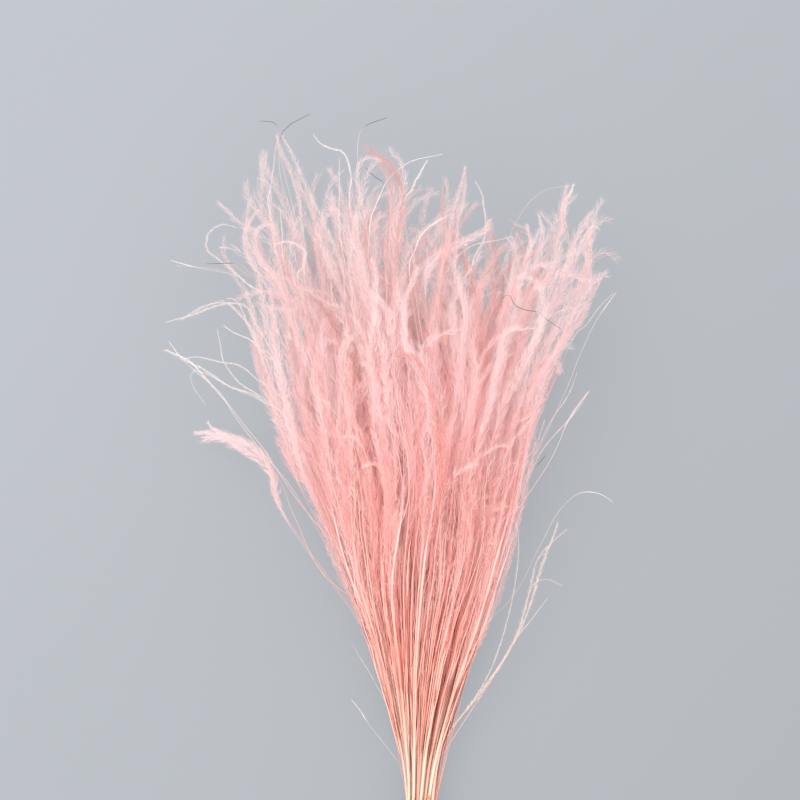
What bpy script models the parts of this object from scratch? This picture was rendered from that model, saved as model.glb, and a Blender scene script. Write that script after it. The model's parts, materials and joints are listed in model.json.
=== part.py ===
# A tied bundle of dyed feather grass, lying on its side.
# Metres, +Z up. The stems lie along Y with their cut ends at -Y, and the underside lies on Z = 0.
# Each stem is one solid: its straw, with the plume of awns that grows from its upper end.
# One more solid is the twine that ties the stems together.

import math
import random

import bmesh
import bpy
import numpy as np
from mathutils import Vector

seed = 7

# The bundle. Distances "along" it are measured from the cut ends.
tie_along = 0.088
waist_radius = 0.0090
waist_length = 0.012
foot_spread = 0.12
head_spread = 0.335
head_width_limit = 0.20
head_rise = 0.175
head_height_limit = 0.12
head_lean = 0.001
head_lift = 0.0012
head_along = 0.30
underside_flatness = 0.32
spiral_turn = -0.62
spiral_reach = 0.055
sway_sideways = 0.0055
ripple_sideways = 0.0022
sway_upwards = 0.0040
sway_starts = 0.15

# The straws
stem_count = 46
straw_width = 0.0020
straw_top_width = 0.0015
straw_sides = 5
rings_below_tie = 3
rings_above_tie = 6
first_straw_top = 0.215
last_straw_top = 0.290
uneven_cut = 0.006

# The plumes. An awn's place in its plume is a share of the stem's own cell of the bundle.
awns_per_stem = 5
awn_sides = 3
awn_rings = 9
awn_root_width = 0.0009
awn_plume_width = 0.0036
awn_tip_width = 0.0008
awn_thickness = 0.0008
plume_cell = 0.81
inner_place = 0.25
outer_places = (0.62, 1.0)
root_spread = (0.006, 0.050)
parting_length = 0.020
tip_curl = 0.016
tip_droop = 0.008
shortest_by = 0.110
clear_gap = 0.0005
tries = 24

# How far along the longest awns reach, at places across the head: (sideways, along).
crown = (
    (-0.105, 0.440), (-0.084, 0.492), (-0.050, 0.474), (-0.020, 0.480),
    (0.012, 0.460), (0.040, 0.432), (0.060, 0.438), (0.088, 0.470), (0.105, 0.446),
)

# Long loose awns, which lean out past the plumes. Each has the place along its straw where it
# leaves, then the points it passes on its way to its tip, as (sideways, along, up).
loose_rings = 12
loose_width_share = 0.7
loose_awns = (
    (0.262, ((-0.084, 0.34, 0.05), (-0.103, 0.384, 0.055), (-0.118, 0.394, 0.05), (-0.141, 0.384, 0.042))),
    (0.245, ((-0.074, 0.279, 0.03), (-0.096, 0.312, 0.033), (-0.134, 0.357, 0.03), (-0.151, 0.366, 0.022))),
    (0.215, ((-0.062, 0.238, 0.016), (-0.086, 0.292, 0.02), (-0.106, 0.311, 0.016), (-0.129, 0.316, 0.008))),
    (0.275, ((-0.094, 0.372, 0.024), (-0.112, 0.41, 0.026), (-0.132, 0.416, 0.018), (-0.146, 0.417, 0.014))),
    (0.125, ((0.022, 0.14, 0.014), (0.057, 0.196, 0.016), (0.074, 0.244, 0.014), (0.083, 0.262, 0.01))),
    (0.262, ((0.075, 0.3, 0.03), (0.087, 0.326, 0.03), (0.099, 0.342, 0.022))),
    (0.262, ((0.08, 0.335, 0.052), (0.097, 0.376, 0.056), (0.113, 0.4, 0.046))),
    (0.2, ((0.056, 0.224, 0.03), (0.078, 0.268, 0.034), (0.096, 0.283, 0.03), (0.114, 0.278, 0.022))),
    (0.28, ((-0.03, 0.42, 0.098), (-0.024, 0.458, 0.102), (-0.008, 0.474, 0.103), (0.012, 0.478, 0.098))),
    (0.28, ((-0.072, 0.418, 0.066), (-0.083, 0.478, 0.072), (-0.079, 0.497, 0.073), (-0.064, 0.503, 0.072))),
)

# The tie: turns of twine side by side, pressed flat where they lie on the surface.
twine_width = 0.0018
twine_turns = 4
tie_steps = 32
tie_pressed = 0.0006
seat_gap = 0.0003
tie_inner = waist_radius + straw_width / 2 + seat_gap
tie_outer = tie_inner + twine_width
tie_lift = straw_width / 2 + seat_gap + twine_width - tie_pressed

# The knot's two crossing ends. Points are (degrees round from the top, along from the tie's middle,
# height of the twine's middle over the tie's crown).
knot_sides = 6
knot_rings = 9
knot_ends = (
    (
        (25, 0.0150, -0.0006), (15, 0.0080, -0.0005), (5, 0.0014, 0.0006),
        (-5, -0.0014, 0.0007), (-13, -0.0046, 0.0002),
    ),
    (
        (-24, 0.0120, -0.0006), (-15, 0.0066, -0.0004), (-4, 0.0012, 0.0010),
        (6, -0.0016, 0.0006), (13, -0.0044, 0.0001),
    ),
)

grass_colour = (0.90, 0.46, 0.42)
twine_colour = (0.62, 0.47, 0.30)


def smooth_step(value, low, high):
    share = np.clip((value - low) / (high - low), 0.0, 1.0)
    return share * share * (3.0 - 2.0 * share)


def fan_out(along, growth, limit):
    """Half the bundle's size: the waist at the tie, and an even spread to each side of it."""
    away = np.abs(along - tie_along)
    open_size = np.hypot(waist_radius, growth * away**2 / (away + waist_length))
    return limit * np.tanh(open_size / limit)


def place(across, up, along):
    """Where a strand passes this far along, if its place in the bundle's unit disc is (across, up).
    The map never folds, so strands that keep their places in the disc never cross."""
    above = along > tie_along
    half_width = fan_out(along, np.where(above, head_spread, foot_spread), head_width_limit)
    half_height = fan_out(along, np.where(above, head_rise, foot_spread), head_height_limit)
    turn = spiral_turn * np.arctan((along - tie_along) / spiral_reach)
    p = across * np.cos(turn) - up * np.sin(turn)
    q = across * np.sin(turn) + up * np.cos(turn)
    opened = smooth_step(along, tie_along, head_along)
    flattened = q * (1 - np.minimum(p * p, 0.9)) ** (-underside_flatness * opened)
    q = np.where(q < 0, flattened, q)
    lift = tie_lift - (tie_lift - head_lift) * opened
    loose = smooth_step(along, sway_starts, head_along)
    sway = sway_sideways * np.sin(along / 0.040 + 2.6 * p + 1.2 * q)
    ripple = ripple_sideways * np.sin(along / 0.017 - 4.4 * p + 3.1 * q)
    rise = sway_upwards * (1 + q) * np.sin(along / 0.046 + 2.2 * q - 3.2 * p)
    x = half_width * p - head_lean * opened + loose * (sway + ripple)
    z = lift + half_height * (1 + q) + loose * rise
    return np.stack([x, along, np.maximum(z, lift)], axis=-1)


def filled_in(path, count):
    """The path as count points, evenly spread along it."""
    run = np.concatenate([[0], np.cumsum(np.linalg.norm(np.diff(path[:, :3], axis=0), axis=1))])
    at = np.linspace(0, run[-1], count)
    return np.stack([np.interp(at, run, column) for column in path.T], axis=1)


def curve_through(points, count):
    """A smooth curve through the points, as count places evenly spread along it."""
    points = np.asarray(points, float)
    ends = np.vstack([2 * points[0] - points[1], points, 2 * points[-1] - points[-2]])
    t = np.linspace(0, 1, 24, endpoint=False)[:, None]
    fine = []
    for a, b, c, d in zip(ends, ends[1:], ends[2:], ends[3:]):
        bend = (2 * a - 5 * b + 4 * c - d) * t**2 + (3 * b - a - 3 * c + d) * t**3
        fine.append(0.5 * (2 * b + (c - a) * t + bend))
    return filled_in(np.vstack([*fine, points[-1:]]), count)


def close_points(path, widths, step=0.0025):
    """The runs between a path's points as close points, each with the strand's width there."""
    length = np.linalg.norm(np.diff(path, axis=0), axis=1).sum()
    return filled_in(np.column_stack([path, widths]), max(2, int(length / step)))


def awn_widths(count):
    """An awn is bare at its root, widest past its middle, where its hairs are long, and thin at its tip."""
    t = np.linspace(0, 1, count)
    plume = smooth_step(t, 0.12, 0.55) * (1 - smooth_step(t, 0.62, 1.0))
    core = awn_root_width + (awn_tip_width - awn_root_width) * t
    return core + (awn_plume_width - awn_root_width) * plume


class Stem:
    """One stem: its place in the disc, its straw, and the paths and widths of its awns."""

    def __init__(self, number, draw):
        reach = math.sqrt((number + 0.5) / stem_count)
        angle = number * math.pi * (3 - math.sqrt(5))
        self.number = number
        self.across = reach * math.cos(angle)
        self.up = reach * math.sin(angle)
        self.foot = draw.uniform(0, uneven_cut)
        self.top = draw.uniform(first_straw_top, last_straw_top)
        half_tie = twine_turns * twine_width / 2
        along = np.append(
            np.linspace(self.foot, tie_along - half_tie, rings_below_tie),
            np.linspace(tie_along + half_tie, self.top, rings_above_tie),
        )
        self.straw = place(self.across, self.up, along)
        self.straw_widths = np.linspace(straw_width, straw_top_width, len(along))
        self.awns = []

    def straw_point(self, along):
        return np.array([np.interp(along, self.straw[:, 1], column) for column in self.straw.T])


def awn_path(stem, root, offset, end, curl, hook):
    """An awn leaves its straw at root, parts from it to its own place in the plume, and curls at its tip."""
    t = np.linspace(0, 1, awn_rings)
    t = (t + (1 - np.cos(math.pi * t)) / 2) / 2
    along = root + (end - root) * t
    parted = 1 - np.exp(-(along - root) / parting_length)
    path = place(stem.across + offset[0] * parted, stem.up + offset[1] * parted, along)
    path[0] = stem.straw_point(root)
    bend = smooth_step(t, 0.42, 1.15)
    turned = np.clip((t - 0.72) / 0.28, 0, 1) ** 2
    path[:, 0] += curl[0] * bend + hook * turned
    path[:, 1] -= (abs(curl[0]) * 0.25 + abs(hook) * 0.45) * turned
    path[:, 2] += curl[1] * bend
    path[:, 2] = np.maximum(path[:, 2], head_lift)
    return path


def is_clear(path, widths, stem, placed):
    """Whether an awn stays clear of other stems, and of its own stem's awns once they have parted."""
    mine = close_points(path, widths)
    for other, theirs in placed:
        near = mine[len(mine) // 3 :] if other is stem else mine
        low, high = near[:, :3].min(0) - awn_plume_width, near[:, :3].max(0) + awn_plume_width
        close = theirs[((theirs[:, :3] > low) & (theirs[:, :3] < high)).all(1)]
        if not len(close):
            continue
        gap = np.linalg.norm(near[:, None, :3] - close[None, :, :3], axis=2)
        room = (near[:, None, 3] + close[None, :, 3]) / 2
        if (gap - room).min() < clear_gap:
            return False
    return True


def draw_awn(stem, turn, calm, draw):
    """One try at an awn. A calmer try bends and curls less."""
    spoke = turn / (awns_per_stem - 1) + draw.uniform(-0.09, 0.09)
    angle = 2 * math.pi * spoke + stem.number
    cell = plume_cell / math.sqrt(stem_count)
    radius = cell * (inner_place if turn == 0 else draw.uniform(*outer_places))
    offset = (radius * math.cos(angle), radius * math.sin(angle))
    root = stem.top - (0.004 if turn == 0 else draw.uniform(*root_spread))
    curl = (calm * draw.gauss(0, tip_curl), calm * draw.gauss(-0.3, 1) * tip_droop)
    hook = calm * draw.choice((-1, 0, 0, 1)) * draw.uniform(0.8, 1.6) * tip_curl
    sideways = place(stem.across, stem.up, 0.42)[0] + curl[0]
    end = np.interp(sideways, *zip(*crown)) - shortest_by * draw.random() ** 1.5
    return awn_path(stem, root, offset, end, curl, hook)


def grow_stems():
    """All stems with their awns. An awn that would cross another is drawn again, and at last left out."""
    draw = random.Random(seed)
    stems = [Stem(number, draw) for number in range(stem_count)]
    placed = [(stem, close_points(stem.straw, stem.straw_widths)) for stem in stems]
    slim = loose_width_share * awn_widths(loose_rings)
    for root, passes in loose_awns:
        near = min(stems, key=lambda stem: np.linalg.norm(stem.straw_point(root) - passes[0]))
        path = curve_through([near.straw_point(root), *passes], loose_rings)
        near.awns.append((path, slim))
        placed.append((near, close_points(path, slim)))
    widths = awn_widths(awn_rings)
    for turn in range(awns_per_stem):
        for stem in stems:
            for attempt in range(tries):
                path = draw_awn(stem, turn, 0.82**attempt, draw)
                if is_clear(path, widths, stem, placed):
                    stem.awns.append((path, widths))
                    placed.append((stem, close_points(path, widths)))
                    break
    print("awns:", sum(len(stem.awns) for stem in stems))
    return stems


def ring_of(body, centre, ahead, width, depth, sides, roll):
    """One ring of a strand, as wide and as deep as asked at its widest."""
    side = ahead.cross(Vector((math.sin(roll), 0, math.cos(roll)))).normalized()
    face = side.cross(ahead)
    if sides == 3:
        width, depth = width / math.sin(math.pi / 3), depth / 0.75
    ring = []
    for corner in range(sides):
        angle = math.pi / 2 + 2 * math.pi * corner / sides
        offset = side * (width / 2 * math.cos(angle)) + face * (depth / 2 * math.sin(angle))
        ring.append(body.verts.new(Vector(centre) + offset))
    return ring


def strand_object(name, path, widths, depths, sides, roll=0, pointed=False):
    """A strand as one closed mesh, with a ring at each point of its path and a flat or a pointed end."""
    body = bmesh.new()
    rings = []
    for number, centre in enumerate(path):
        if pointed and number == len(path) - 1:
            rings.append([body.verts.new(centre)])
            continue
        ahead = Vector(path[min(number + 1, len(path) - 1)] - path[max(number - 1, 0)]).normalized()
        rings.append(ring_of(body, centre, ahead, widths[number], depths[number], sides, roll))
    for low, high in zip(rings, rings[1:]):
        for corner in range(sides):
            after = (corner + 1) % sides
            upper = high if len(high) == 1 else [high[after], high[corner]]
            body.faces.new([low[corner], low[after], *upper])
    body.faces.new(rings[0][::-1])
    if not pointed:
        body.faces.new(rings[-1])
    return object_from(name, body)


def object_from(name, body):
    bmesh.ops.recalc_face_normals(body, faces=body.faces)
    mesh = bpy.data.meshes.new(name)
    body.to_mesh(mesh)
    body.free()
    return bpy.data.objects.new(name, mesh)


def material(name, colour, roughness):
    made = bpy.data.materials.new(name)
    made.use_nodes = True
    shader = made.node_tree.nodes["Principled BSDF"]
    shader.inputs["Base Color"].default_value = (*colour, 1)
    shader.inputs["Roughness"].default_value = roughness
    shader.inputs["Metallic"].default_value = 0
    return made


def joined(base, strands, finish):
    """The base with the strands that grow from it, as one body by one Boolean union."""
    bpy.context.scene.collection.objects.link(base)
    group = bpy.data.collections.new(base.name + "_strands")
    bpy.context.scene.collection.children.link(group)
    for strand in strands:
        group.objects.link(strand)
    join = base.modifiers.new("join", "BOOLEAN")
    join.operation = "UNION"
    join.operand_type = "COLLECTION"
    join.collection = group
    join.solver = "MANIFOLD"
    graph = bpy.context.evaluated_depsgraph_get()
    base.data = bpy.data.meshes.new_from_object(base.evaluated_get(graph), depsgraph=graph)
    base.modifiers.clear()
    for strand in strands:
        bpy.data.objects.remove(strand)
    bpy.data.collections.remove(group)
    base.data.materials.clear()
    base.data.materials.append(finish)
    return base


def stem_object(stem, finish):
    """The straw, with its awns joined to it."""
    name = f"stem_{stem.number + 1:02d}"
    straw = strand_object(name, stem.straw, stem.straw_widths, stem.straw_widths, straw_sides)
    awns = []
    for number, (path, widths) in enumerate(stem.awns):
        roll = 0.5 * math.sin(2.4 * number + stem.number)
        depths = [awn_thickness] * len(widths)
        awns.append(strand_object(name + "_awn", path, widths, depths, awn_sides, roll, pointed=True))
    return joined(straw, awns, finish)


def twine_outline():
    """The tie's section, as (along, radius): a rounded crown on each turn, and a plain inside."""
    outline = []
    for turn in range(twine_turns):
        middle = tie_along + (turn - (twine_turns - 1) / 2) * twine_width
        for angle in (math.radians(150), math.radians(90), math.radians(30)):
            along = middle + twine_width / 2 * math.cos(angle)
            outline.append((along, tie_inner + twine_width / 2 * (1 + math.sin(angle))))
    return [*outline, (outline[-1][0], tie_inner), (outline[0][0], tie_inner)]


def knot_strands():
    """The knot's ends, which cross on top of the turns and lie loosely over the straws."""
    strands = []
    for points in knot_ends:
        route = []
        for degrees, along, height in points:
            angle, radius = math.radians(degrees), tie_outer + height
            up = tie_outer - tie_pressed + radius * math.cos(angle)
            route.append((radius * math.sin(angle), tie_along + along, up))
        path = curve_through(route, knot_rings)
        widths = [twine_width] * knot_rings
        strands.append(strand_object("knot_end", path, widths, widths, knot_sides))
    return strands


def tie_object(finish):
    """The twine's turns as one ring round the waist, cut flat where they lie on the surface."""
    body = bmesh.new()
    corners = [body.verts.new((0, along, radius)) for along, radius in twine_outline()]
    edges = [body.edges.new(pair) for pair in zip(corners, corners[1:] + corners[:1])]
    bmesh.ops.spin(
        body, geom=corners + edges, cent=(0, 0, 0), axis=(0, 1, 0), angle=2 * math.pi,
        steps=tie_steps, use_merge=True, use_duplicate=False,
    )
    bmesh.ops.remove_doubles(body, verts=body.verts, dist=1e-6)
    bmesh.ops.translate(body, verts=body.verts, vec=(0, 0, tie_outer - tie_pressed))
    everything = [*body.verts, *body.edges, *body.faces]
    cut = bmesh.ops.bisect_plane(
        body, geom=everything, plane_co=(0, 0, 0), plane_no=(0, 0, -1), clear_outer=True
    )
    rim = [part for part in cut["geom_cut"] if isinstance(part, bmesh.types.BMEdge)]
    bmesh.ops.edgeloop_fill(body, edges=rim)
    return joined(object_from("tie", body), knot_strands(), finish)


def set_origin(objects):
    """Moves everything so that the middle of the box's underside is at the origin."""
    points = np.vstack([[vertex.co[:] for vertex in obj.data.vertices] for obj in objects])
    low, high = points.min(0), points.max(0)
    move = Vector((-(low[0] + high[0]) / 2, -(low[1] + high[1]) / 2, -low[2]))
    for obj in objects:
        for vertex in obj.data.vertices:
            vertex.co += move
    print("moved by", tuple(round(value, 5) for value in move), "size", np.round(high - low, 4))


def build():
    for obj in list(bpy.data.objects):
        bpy.data.objects.remove(obj)
    grass = material("dyed_grass", grass_colour, 0.7)
    twine = material("twine", twine_colour, 0.85)
    objects = [stem_object(stem, grass) for stem in grow_stems()]
    objects.append(tie_object(twine))
    set_origin(objects)


build()
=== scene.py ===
# Looks of a tied bundle of dyed feather grass, lying on a pale floor. Metres, +Z up.
# Every stem follows the same drawn paths as its solid in the frame. Here it gets a ribbed straw
# with its cut end, thread-fine awns with soft hairs, and thin leaves between the straws.

import json
import math
import random

import bpy
import numpy as np
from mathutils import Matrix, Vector


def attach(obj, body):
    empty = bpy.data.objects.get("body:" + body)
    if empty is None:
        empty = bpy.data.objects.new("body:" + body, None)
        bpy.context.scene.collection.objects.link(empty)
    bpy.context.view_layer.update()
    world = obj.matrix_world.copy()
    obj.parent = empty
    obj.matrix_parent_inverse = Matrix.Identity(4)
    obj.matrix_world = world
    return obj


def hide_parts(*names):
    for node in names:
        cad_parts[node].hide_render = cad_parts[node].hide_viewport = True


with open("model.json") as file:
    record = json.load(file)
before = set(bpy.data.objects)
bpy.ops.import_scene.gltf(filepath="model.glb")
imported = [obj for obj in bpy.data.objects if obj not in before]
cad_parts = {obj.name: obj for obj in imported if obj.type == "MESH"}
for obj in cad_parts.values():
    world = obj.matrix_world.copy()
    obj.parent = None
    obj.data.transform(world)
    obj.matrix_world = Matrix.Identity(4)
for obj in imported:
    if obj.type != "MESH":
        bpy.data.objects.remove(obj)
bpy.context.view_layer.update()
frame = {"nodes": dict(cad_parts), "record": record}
print("frame loaded,", len(frame["nodes"]), "nodes")

# The bundle's form, as in the solids. "Along" is measured from the cut ends. A wave is its length
# and its two shifts with a strand's place. The eye is the camera's place over the bundle.
bundle = {
    "seed": 7,
    "mainSeed": 100,
    "fineSeed": 200,
    "tieAlong": 0.088,
    "waistRadius": 0.0090,
    "waistLength": 0.012,
    "footSpread": 0.12,
    "headSpread": 0.335,
    "headWidthLimit": 0.20,
    "headRise": 0.175,
    "headHeightLimit": 0.12,
    "headLean": 0.001,
    "headLift": 0.0012,
    "headAlong": 0.30,
    "undersideFlatness": 0.32,
    "flattestSide": 0.9,
    "spiralTurn": -0.62,
    "spiralReach": 0.055,
    "swaySideways": 0.0055,
    "swayWave": (0.040, 2.6, 1.2),
    "rippleSideways": 0.0022,
    "rippleWave": (0.017, -4.4, 3.1),
    "swayUpwards": 0.0040,
    "riseWave": (0.046, 2.2, -3.2),
    "swayStarts": 0.15,
    "crownAlong": 0.42,
    "crown": (
        (-0.105, 0.440), (-0.084, 0.492), (-0.050, 0.474), (-0.020, 0.480),
        (0.012, 0.460), (0.040, 0.432), (0.060, 0.438), (0.088, 0.470), (0.105, 0.446),
    ),
    "eye": (-0.01276, 0.3370, 1.34),
    "eyeLevel": 0.05,
    "lowestPoint": 0.0002,
    "lowestTip": 0.0008,
}

twine = {
    "width": 0.0018,
    "turns": 4,
    "pressed": 0.0006,
    "seatGap": 0.0003,
}

straws = {
    "count": 46,
    "width": 0.0020,
    "topWidth": 0.0015,
    "ringsBelowTie": 3,
    "ringsAboveTie": 6,
    "firstTop": 0.215,
    "lastTop": 0.290,
    "unevenCut": 0.006,
}

awns = {
    "perStem": 5,
    "rings": 9,
    "rootWidth": 0.0009,
    "plumeWidth": 0.0036,
    "tipWidth": 0.0008,
    "plumeCell": 0.81,
    "innerPlace": 0.25,
    "outerPlaces": (0.62, 1.0),
    "rootSpread": (0.006, 0.050),
    "partingLength": 0.020,
    "firstRoot": 0.004,
    "spokeSpread": 0.09,
    "plumeWidens": (0.12, 0.55),
    "plumeNarrows": (0.62, 1.0),
    "tipCurl": 0.016,
    "tipDroop": 0.008,
    "droopBias": -0.3,
    "bendOver": (0.42, 1.15),
    "hooks": (-1, 0, 0, 1),
    "hookSizes": (0.8, 1.6),
    "hookFrom": 0.72,
    "hookLength": 0.28,
    "drawnBack": (0.25, 0.45),
    "shortestBy": 0.110,
    "shorterPower": 1.5,
    "clearGap": 0.0005,
    "tries": 24,
    "calming": 0.82,
}

# Loose awns that lean out of the head. Each route starts with how far along it leaves its straw.
# Their looks are the kind, the tone, the hairs' reach or a bare awn's tip, and where the hairs
# start, as a share of the length. They have fewer hairs than the awns in the head. From "crownFrom"
# on they are at the crown, where they are drawn in to the places where they are seen.
looseAwns = {
    "rings": 12,
    "widthShare": 0.7,
    "routes": (
        (0.262, (-0.084, 0.34, 0.05), (-0.103, 0.384, 0.055), (-0.118, 0.394, 0.05),
         (-0.141, 0.384, 0.042)),
        (0.245, (-0.074, 0.279, 0.03), (-0.096, 0.312, 0.033), (-0.134, 0.357, 0.03),
         (-0.151, 0.366, 0.022)),
        (0.215, (-0.062, 0.238, 0.016), (-0.086, 0.292, 0.02), (-0.106, 0.311, 0.016),
         (-0.129, 0.316, 0.008)),
        (0.275, (-0.094, 0.372, 0.024), (-0.112, 0.41, 0.026), (-0.132, 0.416, 0.018),
         (-0.146, 0.417, 0.014)),
        (0.125, (0.022, 0.14, 0.014), (0.057, 0.196, 0.016), (0.074, 0.244, 0.014), (0.083, 0.262, 0.01)),
        (0.262, (0.075, 0.3, 0.03), (0.087, 0.326, 0.03), (0.099, 0.342, 0.022)),
        (0.262, (0.08, 0.335, 0.052), (0.097, 0.376, 0.056), (0.113, 0.4, 0.046)),
        (0.2, (0.056, 0.224, 0.03), (0.078, 0.268, 0.034), (0.096, 0.283, 0.03), (0.114, 0.278, 0.022)),
        (0.28, (-0.03, 0.42, 0.098), (-0.024, 0.458, 0.102), (-0.008, 0.474, 0.103), (0.012, 0.478, 0.098)),
        (0.28, (-0.072, 0.418, 0.066), (-0.083, 0.478, 0.072), (-0.079, 0.497, 0.073),
         (-0.064, 0.503, 0.072)),
    ),
    "looks": (
        ("awn", 0.80, 0.003, 0.4), ("awn", 0.94, 0.002, 0.6), ("awn", 0.66, 0.010, 0.66),
        ("whiteTip", 0.80, 0.0, 0.5), ("awn", 0.93, 0.003, 0.4), ("awn", 0.94, 0.0015, 0.6),
        ("whiteTip", 0.96, 0.016, 0.5), ("whiteTip", 0.97, 0.022, 0.5), ("whiteTip", 0.98, 0.066, 0.5),
        ("bristle", 0.60, 0.022, 0.5),
    ),
    "hairShare": 0.6,
    "turnShare": 0.2,
    "shownOver": (0.25, 0.60),
    "crownFrom": 8,
    "drawnInOver": (0.30, 0.42),
}

tieInner = bundle["waistRadius"] + straws["width"] / 2 + twine["seatGap"]
tieOuter = tieInner + twine["width"]
tieLift = straws["width"] / 2 + twine["seatGap"] + twine["width"] - twine["pressed"]

# The flat under the tie gives the place of the bundle's axis in the frame.
restPlace = frame["record"]["mounts"][0]["pos_m"]
bundleShift = np.array([restPlace[0], restPlace[1] - bundle["tieAlong"], 0.0])


def smoothStep(value, low, high):
    share = np.clip((value - low) / (high - low), 0, 1)
    return share * share * (3 - 2 * share)


def fanOut(along, growth, limit):
    away = np.abs(along - bundle["tieAlong"])
    openSize = np.hypot(bundle["waistRadius"], growth * away**2 / (away + bundle["waistLength"]))
    return limit * np.tanh(openSize / limit)


def headSize(along):
    above = along > bundle["tieAlong"]
    widening = np.where(above, bundle["headSpread"], bundle["footSpread"])
    rising = np.where(above, bundle["headRise"], bundle["footSpread"])
    halfWidth = fanOut(along, widening, bundle["headWidthLimit"])
    halfHeight = fanOut(along, rising, bundle["headHeightLimit"])
    return halfWidth, halfHeight


def wave(form, along, first, second):
    length, firstShift, secondShift = form
    return np.sin(along / length + firstShift * first + secondShift * second)


# Where a strand passes this far along, if its place in the bundle's unit disc is (across, up).
def place(across, up, along, swayShare=1.0):
    halfWidth, halfHeight = headSize(along)
    turn = bundle["spiralTurn"] * np.arctan((along - bundle["tieAlong"]) / bundle["spiralReach"])
    p = across * np.cos(turn) - up * np.sin(turn)
    q = across * np.sin(turn) + up * np.cos(turn)
    opened = smoothStep(along, bundle["tieAlong"], bundle["headAlong"])
    squeezed = 1 - np.minimum(p * p, bundle["flattestSide"])
    flattened = q * squeezed ** (-bundle["undersideFlatness"] * opened)
    q = np.where(q < 0, flattened, q)
    lift = tieLift - (tieLift - bundle["headLift"]) * opened
    loose = swayShare * smoothStep(along, bundle["swayStarts"], bundle["headAlong"])
    sway = bundle["swaySideways"] * wave(bundle["swayWave"], along, p, q)
    ripple = bundle["rippleSideways"] * wave(bundle["rippleWave"], along, p, q)
    rise = bundle["swayUpwards"] * (1 + q) * wave(bundle["riseWave"], along, q, p)
    x = halfWidth * p - bundle["headLean"] * opened + loose * (sway + ripple)
    z = lift + halfHeight * (1 + q) + loose * rise
    return np.stack([x, along, np.maximum(z, lift)], axis=-1)


# Strands of this height are nearer to the eye than the middle of the head, so they lie further in
# than they seem to.
def asSeen(spot, height):
    eye = np.array(bundle["eye"])
    nearer = (eye[2] - np.asarray(height)) / (eye[2] - bundle["eyeLevel"])
    return eye[:2] + (np.asarray(spot) - eye[:2]) * nearer[..., None]


def lengthAlong(path):
    return np.concatenate([[0], np.cumsum(np.linalg.norm(np.diff(path, axis=0), axis=1))])


def filledIn(path, count):
    run = lengthAlong(path[:, :3])
    at = np.linspace(0, run[-1], count)
    return np.stack([np.interp(at, run, column) for column in path.T], axis=1)


# A smooth curve through the points, as places evenly spread along it.
def curveThrough(points, count, steps=24):
    points = np.asarray(points, float)
    ends = np.vstack([2 * points[0] - points[1], points, 2 * points[-1] - points[-2]])
    t = np.linspace(0, 1, steps, endpoint=False)[:, None]
    fine = []
    for a, b, c, d in zip(ends, ends[1:], ends[2:], ends[3:]):
        bend = (2 * a - 5 * b + 4 * c - d) * t**2 + (3 * b - a - 3 * c + d) * t**3
        fine.append(0.5 * (2 * b + (c - a) * t + bend))
    return filledIn(np.vstack([*fine, points[-1:]]), count)


def closePoints(path, widths, step=0.0025):
    length = np.linalg.norm(np.diff(path, axis=0), axis=1).sum()
    return filledIn(np.column_stack([path, widths]), max(2, int(length / step)))


def awnWidths(count):
    t = np.linspace(0, 1, count)
    plume = smoothStep(t, *awns["plumeWidens"]) * (1 - smoothStep(t, *awns["plumeNarrows"]))
    core = awns["rootWidth"] + (awns["tipWidth"] - awns["rootWidth"]) * t
    return core + (awns["plumeWidth"] - awns["rootWidth"]) * plume


def drawStem(number, draw):
    reach = math.sqrt((number + 0.5) / straws["count"])
    angle = number * math.pi * (3 - math.sqrt(5))
    stem = {"number": number, "across": reach * math.cos(angle), "up": reach * math.sin(angle)}
    stem["foot"] = draw.uniform(0, straws["unevenCut"])
    stem["top"] = draw.uniform(straws["firstTop"], straws["lastTop"])
    halfTie = twine["turns"] * twine["width"] / 2
    below = np.linspace(stem["foot"], bundle["tieAlong"] - halfTie, straws["ringsBelowTie"])
    above = np.linspace(bundle["tieAlong"] + halfTie, stem["top"], straws["ringsAboveTie"])
    along = np.append(below, above)
    stem["straw"] = place(stem["across"], stem["up"], along)
    stem["strawWidths"] = np.linspace(straws["width"], straws["topWidth"], len(along))
    stem["awns"] = []
    return stem


def strawPoint(stem, along):
    return np.array([np.interp(along, stem["straw"][:, 1], column) for column in stem["straw"].T])


# An awn leaves its straw at its root, parts from it, and bends, droops and hooks at its tip.
def awnPath(stem, root, offset, end, curl, hook):
    t = np.linspace(0, 1, awns["rings"])
    t = (t + (1 - np.cos(math.pi * t)) / 2) / 2
    along = root + (end - root) * t
    parted = 1 - np.exp(-(along - root) / awns["partingLength"])
    path = place(stem["across"] + offset[0] * parted, stem["up"] + offset[1] * parted, along)
    path[0] = strawPoint(stem, root)
    bend = smoothStep(t, *awns["bendOver"])
    turned = np.clip((t - awns["hookFrom"]) / awns["hookLength"], 0, 1) ** 2
    path[:, 0] += curl[0] * bend + hook * turned
    byCurl, byHook = awns["drawnBack"]
    path[:, 1] -= (abs(curl[0]) * byCurl + abs(hook) * byHook) * turned
    path[:, 2] += curl[1] * bend
    path[:, 2] = np.maximum(path[:, 2], bundle["headLift"])
    return path


# Strands laid so far, with their boxes, so that only those near a new awn are measured.
placed = {"stems": [], "points": [], "low": [], "high": []}


def remember(stem, path, widths):
    points = closePoints(path, widths)
    placed["stems"].append(stem)
    placed["points"].append(points)
    placed["low"].append(points[:, :3].min(0))
    placed["high"].append(points[:, :3].max(0))


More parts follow.
